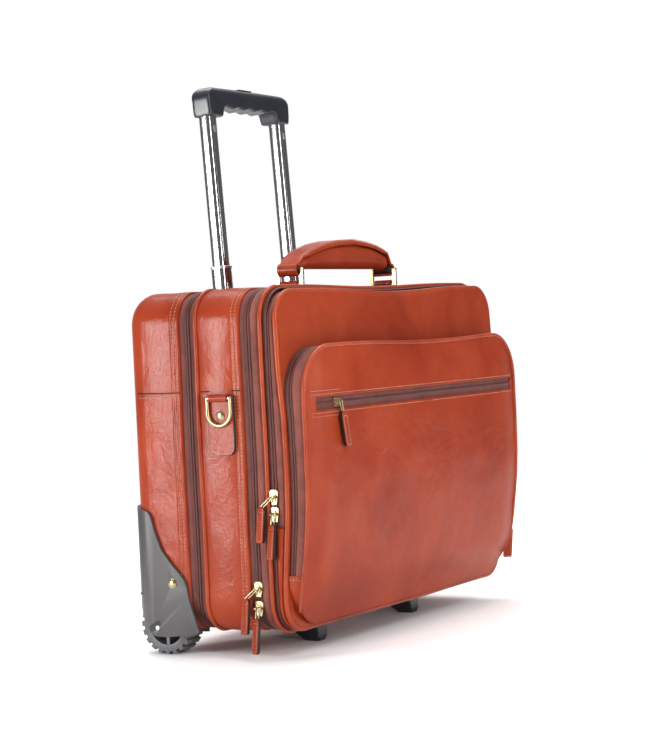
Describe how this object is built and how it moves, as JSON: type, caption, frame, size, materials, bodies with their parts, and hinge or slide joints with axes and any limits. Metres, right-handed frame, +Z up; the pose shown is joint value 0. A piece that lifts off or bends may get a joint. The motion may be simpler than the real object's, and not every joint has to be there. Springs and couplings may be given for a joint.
{
  "type": "rolling laptop case",
  "caption": "Leather wheeled laptop case with layered zip compartments, a front pocket, an arched carry handle, side rings, and a telescopic trolley handle between rear wheels and front feet.",
  "frame": {"origin": "on the floor, at the middle of the footprint of the whole case, with the trolley handle pulled part of the way out", "axes": "+X across the case to its right, the front pocket faces -Y, the trolley and wheels are at +Y, +Z is up"},
  "size_m": [0.4478, 0.2101, 0.5466],
  "materials": {
    "leather": "semi-gloss full-grain leather",
    "lining": "woven lining",
    "board": "matt sheet",
    "zip": "woven tape with nylon coil",
    "brass": "polished pale brass",
    "chrome_tube": "polished",
    "housing_tube": "satin",
    "black_plastic": "satin moulded",
    "guard_plastic": "satin moulded",
    "wheel_plastic": "moulded",
    "tyre": "moulded polyurethane",
    "foot_plastic": "gloss moulded",
    "steel": "turned"
  },
  "bodies": {
    "rear_case": {"rear_shell": "leather", "rear_lining": "lining", "rear_board": "board", "base_tray": "board", "laptop_sleeve": "lining", "zip1_rear": "zip", "trolley_housing": "housing_tube", "trolley_bezel": "black_plastic", "guard_left": "guard_plastic", "guard_right": "guard_plastic", "guard_rivets": "brass", "axles": "steel"},
    "wheel_left": {"wheel_left": "wheel_plastic", "tyre_left": "tyre"},
    "wheel_right": {"wheel_right": "wheel_plastic", "tyre_right": "tyre"},
    "trolley_middle": {"middle_tubes": "chrome_tube"},
    "trolley_grip": {"inner_tubes": "chrome_tube", "grip_shell": "black_plastic", "grip_underside": "black_plastic"},
    "release_button": {"release_button": "black_plastic"},
    "middle_case": {"middle_shell": "leather", "middle_lining": "lining", "zip1_front": "zip", "zip2_rear": "zip", "feet": "foot_plastic", "side_tabs": "leather", "tab_rivets": "brass", "handle_tabs": "leather"},
    "side_ring_left": {"side_ring_left": "brass"},
    "side_ring_right": {"side_ring_right": "brass"},
    "handle_ring_left": {"handle_ring_left": "brass"},
    "handle_ring_right": {"handle_ring_right": "brass"},
    "carry_handle": {"carry_handle": "leather"},
    "front_case": {"divider_panel": "leather", "zip2_front": "zip", "zip3_rear": "zip", "organiser": "lining"},
    "front_panel": {"front_panel": "leather", "zip3_front": "zip", "front_gusset": "leather", "zip4_rear": "zip"},
    "pocket": {"pocket_shell": "leather", "zip4_front": "zip", "flat_zip": "zip"},
    "main_slider_upper": {"main_slider_upper": "brass"},
    "main_slider_lower": {"main_slider_lower": "brass"},
    "organiser_slider_upper": {"organiser_slider_upper": "brass"},
    "organiser_slider_lower": {"organiser_slider_lower": "brass"},
    "pocket_slider_upper": {"pocket_slider_upper": "brass"},
    "pocket_slider_lower": {"pocket_slider_lower": "brass"},
    "flat_slider": {"flat_slider": "brass"},
    "main_pull_upper": {"main_pull_upper": "leather"},
    "main_pull_lower": {"main_pull_lower": "leather"},
    "organiser_pull_upper": {"organiser_pull_upper": "leather"},
    "organiser_pull_lower": {"organiser_pull_lower": "leather"},
    "pocket_pull_upper": {"pocket_pull_upper": "leather"},
    "pocket_pull_lower": {"pocket_pull_lower": "leather"},
    "flat_pull": {"flat_pull": "leather"},
    "expander_slider": {"expander_slider": "brass"}
  },
  "joints": [
    {"name": "expander", "type": "slide", "parent": "rear_case", "child": "middle_case", "axis": [0, -1, 0], "range_m": [0, 0.03]},
    {"name": "main_opening", "type": "hinge", "parent": "middle_case", "child": "front_case", "pos_m": [0, -0.0385, 0.0245], "axis": [1, 0, 0], "range_deg": [0, 20]},
    {"name": "organiser_opening", "type": "hinge", "parent": "front_case", "child": "front_panel", "pos_m": [0, -0.0597, 0.0245], "axis": [1, 0, 0], "range_deg": [0, 18]},
    {"name": "pocket_opening", "type": "hinge", "parent": "front_panel", "child": "pocket", "pos_m": [0, -0.07615, 0.0295], "axis": [1, 0, 0], "range_deg": [0, 25]},
    {"name": "trolley_middle", "type": "slide", "parent": "rear_case", "child": "trolley_middle", "axis": [0, 0.0523, 0.9986], "range_m": [-0.0225, 0.21]},
    {"name": "trolley_top", "type": "slide", "parent": "trolley_middle", "child": "trolley_grip", "axis": [0, 0.0523, 0.9986], "range_m": [-0.146, 0.1]},
    {"name": "release_press", "type": "slide", "parent": "trolley_grip", "child": "release_button", "axis": [0, -0.0523, -0.9986], "range_m": [0, 0.003], "stiffness_N_per_m": 400, "springref_m": -0.002},
    {"name": "wheel_left_spin", "type": "hinge", "parent": "rear_case", "child": "wheel_left", "pos_m": [-0.192, 0.075, 0.028], "axis": [1, 0, 0], "continuous": true},
    {"name": "wheel_right_spin", "type": "hinge", "parent": "rear_case", "child": "wheel_right", "pos_m": [0.192, 0.075, 0.028], "axis": [1, 0, 0], "continuous": true},
    {"name": "handle_ring_left_swing", "type": "hinge", "parent": "middle_case", "child": "handle_ring_left", "pos_m": [-0.092, -0.011, 0.3426], "axis": [0, 1, 0], "range_deg": [-55, 55]},
    {"name": "carry_handle_swing", "type": "hinge", "parent": "handle_ring_left", "child": "carry_handle", "pos_m": [-0.092, -0.011, 0.3566], "axis": [0, 1, 0], "range_deg": [-55, 55]},
    {"name": "handle_ring_right_swing", "type": "hinge", "parent": "middle_case", "child": "handle_ring_right", "pos_m": [0.092, -0.011, 0.3426], "axis": [0, 1, 0], "range_deg": [-55, 55]},
    {"name": "side_ring_left_swing", "type": "hinge", "parent": "middle_case", "child": "side_ring_left", "pos_m": [-0.2203, -0.008, 0.24], "axis": [0, 1, 0], "range_deg": [0, 150]},
    {"name": "side_ring_right_swing", "type": "hinge", "parent": "middle_case", "child": "side_ring_right", "pos_m": [0.2203, -0.008, 0.24], "axis": [0, -1, 0], "range_deg": [0, 150]},
    {"name": "main_slider_upper", "type": "slide", "parent": "middle_case", "child": "main_slider_upper", "axis": [0, 0, 1], "range_m": [0, 0.235]},
    {"name": "main_pull_upper", "type": "hinge", "parent": "main_slider_upper", "child": "main_pull_upper", "pos_m": [-0.2182, -0.0385, 0.066], "axis": [0, 1, 0], "range_deg": [0, 130]},
    {"name": "main_slider_lower", "type": "slide", "parent": "middle_case", "child": "main_slider_lower", "axis": [0, 0, 1], "range_m": [-0.003, 0.003]},
    {"name": "main_pull_lower", "type": "hinge", "parent": "main_slider_lower", "child": "main_pull_lower", "pos_m": [-0.2182, -0.0385, 0.0485], "axis": [0, 1, 0], "range_deg": [0, 130]},
    {"name": "organiser_slider_upper", "type": "slide", "parent": "front_case", "child": "organiser_slider_upper", "axis": [0, 0, 1], "range_m": [0, 0.148]},
    {"name": "organiser_pull_upper", "type": "hinge", "parent": "organiser_slider_upper", "child": "organiser_pull_upper", "pos_m": [-0.2182, -0.0597, 0.1495], "axis": [0, 1, 0], "range_deg": [0, 130]},
    {"name": "organiser_slider_lower", "type": "slide", "parent": "front_case", "child": "organiser_slider_lower", "axis": [0, 0, 1], "range_m": [-0.004, 0.001]},
    {"name": "organiser_pull_lower", "type": "hinge", "parent": "organiser_slider_lower", "child": "organiser_pull_lower", "pos_m": [-0.2182, -0.0597, 0.134], "axis": [0, 1, 0], "range_deg": [0, 130]},
    {"name": "pocket_slider_upper", "type": "slide", "parent": "front_panel", "child": "pocket_slider_upper", "axis": [0, 0, 1], "range_m": [0, 0.13]},
    {"name": "pocket_pull_upper", "type": "hinge", "parent": "pocket_slider_upper", "child": "pocket_pull_upper", "pos_m": [0.2182, -0.0809, 0.1], "axis": [0, -1, 0], "range_deg": [0, 130]},
    {"name": "pocket_slider_lower", "type": "slide", "parent": "front_panel", "child": "pocket_slider_lower", "axis": [0, 0, 1], "range_m": [-0.002, 0.0015]},
    {"name": "pocket_pull_lower", "type": "hinge", "parent": "pocket_slider_lower", "child": "pocket_pull_lower", "pos_m": [0.2182, -0.0809, 0.084], "axis": [0, -1, 0], "range_deg": [0, 130]},
    {"name": "flat_slider", "type": "slide", "parent": "pocket", "child": "flat_slider", "axis": [1, 0, 0], "range_m": [-0.006, 0.355]},
    {"name": "flat_pull", "type": "hinge", "parent": "flat_slider", "child": "flat_pull", "pos_m": [-0.161, -0.1018, 0.2317], "axis": [-1, 0, 0], "range_deg": [0, 130]},
    {"name": "expander_slider", "type": "slide", "parent": "rear_case", "child": "expander_slider", "axis": [0, 0, 1], "range_m": [-0.08, 0.145]}
  ],
  "couplings": [
    {"joint": "carry_handle_swing", "follows": "handle_ring_left_swing", "ratio": -1},
    {"joint": "handle_ring_right_swing", "follows": "handle_ring_left_swing", "ratio": 1}
  ]
}
